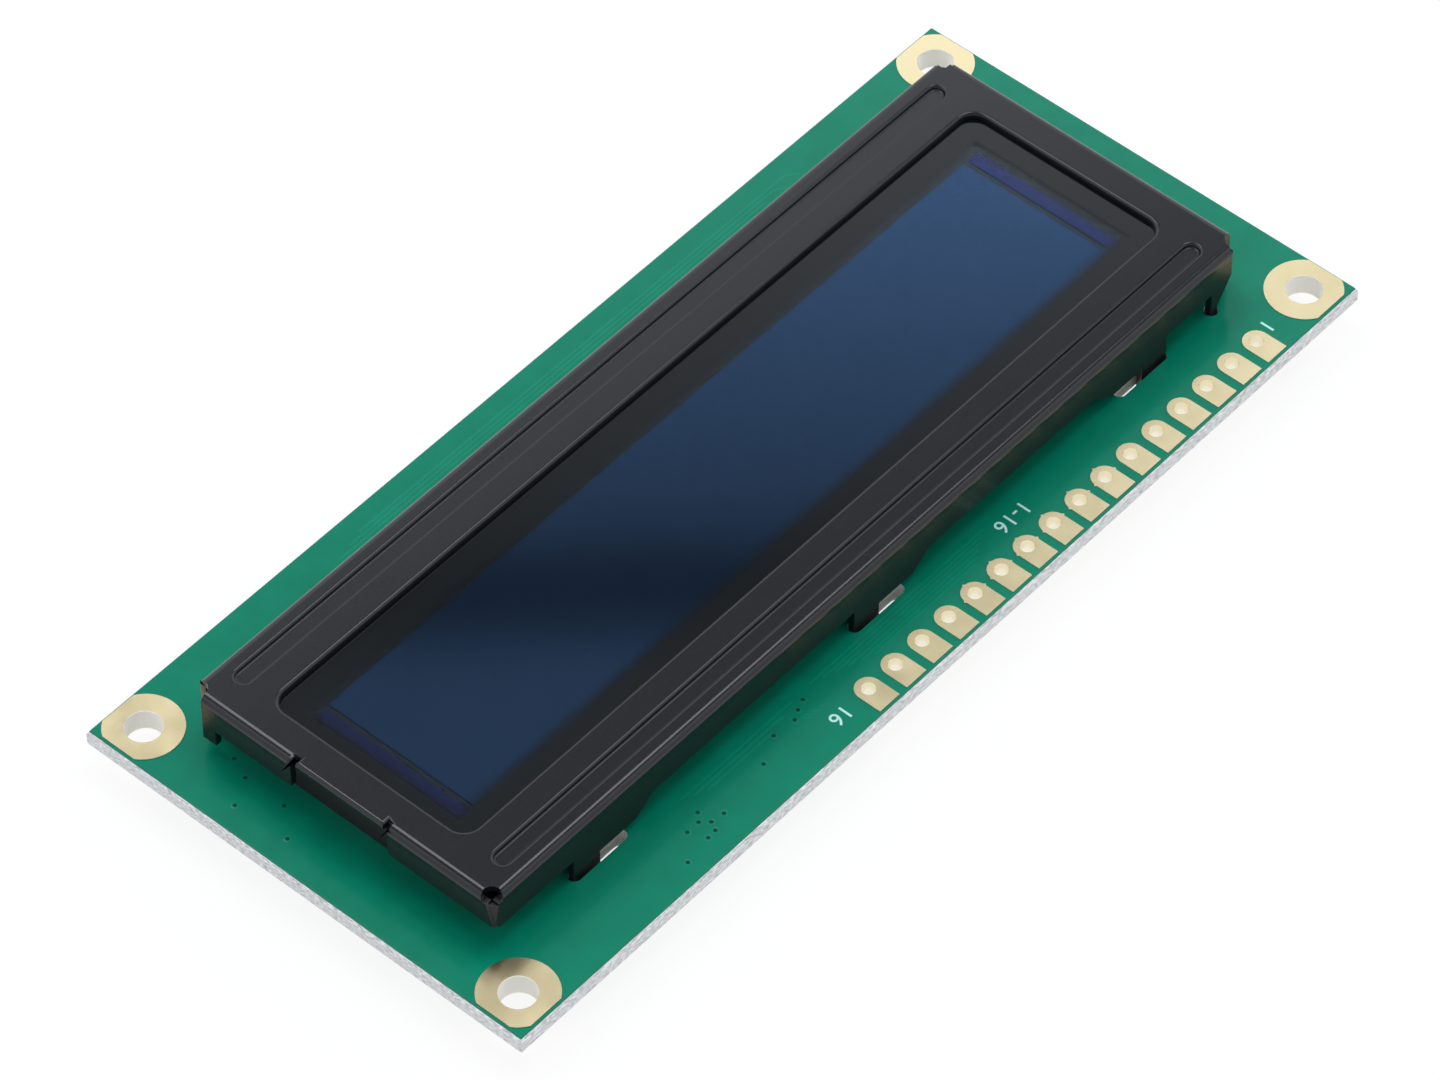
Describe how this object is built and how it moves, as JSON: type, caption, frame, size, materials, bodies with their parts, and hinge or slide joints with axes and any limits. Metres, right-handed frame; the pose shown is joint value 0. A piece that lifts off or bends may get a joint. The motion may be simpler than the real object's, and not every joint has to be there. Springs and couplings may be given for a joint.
{
  "type": "character oled display module",
  "caption": "Flat display module: a green printed board with ringed mounting holes and plated pin holes carries a dark glass display panel that is clamped under a black folded steel bezel.",
  "frame": {"origin": "below the middle of the board, on the plane of the bezel's tab tips that the module rests on", "axes": "+X along the pin row from the first pin to the last, +Y towards the pin row, +Z out of the display"},
  "size_m": [0.08, 0.036, 0.0081],
  "materials": {
    "board": "green solder mask on glass fibre",
    "plating": "gold-plated copper",
    "bezel_paint": "satin black paint on steel",
    "polariser_film": "glossy dark film",
    "panel_glass": "clear",
    "electrode_film": "blue mirror film",
    "lead_film": "indigo mirror film",
    "seal": "cured resin",
    "dark_glass": "dark",
    "desiccant": "matt sheet",
    "elastomer": "matt",
    "holder_plastic": "moulded",
    "resin": "potting resin",
    "resistor_body": "glazed ceramic",
    "capacitor_body": "fired ceramic",
    "tin": "tinned",
    "ferrite": "sintered",
    "copper_wire": "lacquered",
    "moulding": "moulded"
  },
  "bodies": {
    "root": {"circuit_board": "board", "connector_lands": "plating", "mounting_rings": "plating", "bezel": "bezel_paint", "polariser": "polariser_film", "front_glass": "panel_glass", "electrode_field": "electrode_film", "lead_bands": "lead_film", "edge_seal": "seal", "cover_glass": "dark_glass", "desiccant_sheet": "desiccant", "elastomer_strips": "elastomer", "elastomer_holder": "holder_plastic", "controller_glob": "resin", "resistor_bodies": "resistor_body", "resistor_ends": "tin", "capacitor_bodies": "capacitor_body", "capacitor_ends": "tin", "inductor_core": "ferrite", "inductor_winding": "copper_wire", "inductor_terminals": "tin", "converter_body": "moulding", "converter_leads": "tin", "diode_body": "moulding", "diode_leads": "tin"}
  },
  "joints": []
}
